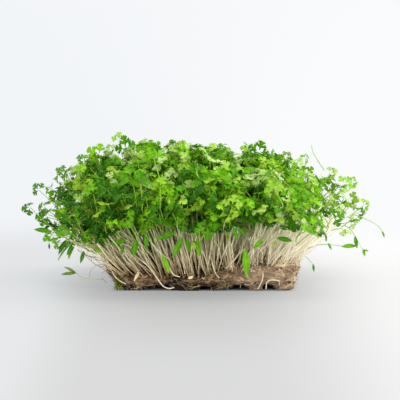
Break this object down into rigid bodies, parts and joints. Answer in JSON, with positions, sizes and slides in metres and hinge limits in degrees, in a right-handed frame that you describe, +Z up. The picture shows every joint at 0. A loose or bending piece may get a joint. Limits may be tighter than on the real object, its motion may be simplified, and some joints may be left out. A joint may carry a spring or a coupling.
{
  "type": "block of microgreens on a root mat",
  "caption": "Dense block of leafy microgreens: pale stems fan up from a slab of root-bound growing medium into a domed canopy of small three-part leaves.",
  "frame": {"origin": "middle of the flat underside of the slab, on the surface that it rests on", "axes": "+Z up, +X along the long side of the block, front of the block towards -Y"},
  "size_m": [0.2094, 0.1545, 0.0874],
  "materials": {
    "growing_medium": "fibrous, matt",
    "stem": "pale, satin, slightly see-through",
    "leaf": "fresh green, satin"
  },
  "bodies": {
    "root": {"root_mat": "growing_medium", "stems_1_1": "stem", "stems_1_2": "stem", "stems_1_3": "stem", "stems_1_4": "stem", "stems_1_5": "stem", "stems_1_6": "stem", "stems_2_1": "stem", "stems_2_2": "stem", "stems_2_3": "stem", "stems_2_4": "stem", "stems_2_5": "stem", "stems_2_6": "stem", "stems_3_1": "stem", "stems_3_2": "stem", "stems_3_3": "stem", "stems_3_4": "stem", "stems_3_5": "stem", "stems_3_6": "stem", "stems_4_1": "stem", "stems_4_2": "stem", "stems_4_3": "stem", "stems_4_4": "stem", "stems_4_5": "stem", "stems_4_6": "stem", "foliage_1_1": "leaf", "foliage_1_2": "leaf", "foliage_1_3": "leaf", "foliage_1_4": "leaf", "foliage_1_5": "leaf", "foliage_1_6": "leaf", "foliage_2_1": "leaf", "foliage_2_2": "leaf", "foliage_2_3": "leaf", "foliage_2_4": "leaf", "foliage_2_5": "leaf", "foliage_2_6": "leaf", "foliage_3_1": "leaf", "foliage_3_2": "leaf", "foliage_3_3": "leaf", "foliage_3_4": "leaf", "foliage_3_5": "leaf", "foliage_3_6": "leaf", "foliage_4_1": "leaf", "foliage_4_2": "leaf", "foliage_4_3": "leaf", "foliage_4_4": "leaf", "foliage_4_5": "leaf", "foliage_4_6": "leaf"}
  },
  "joints": []
}
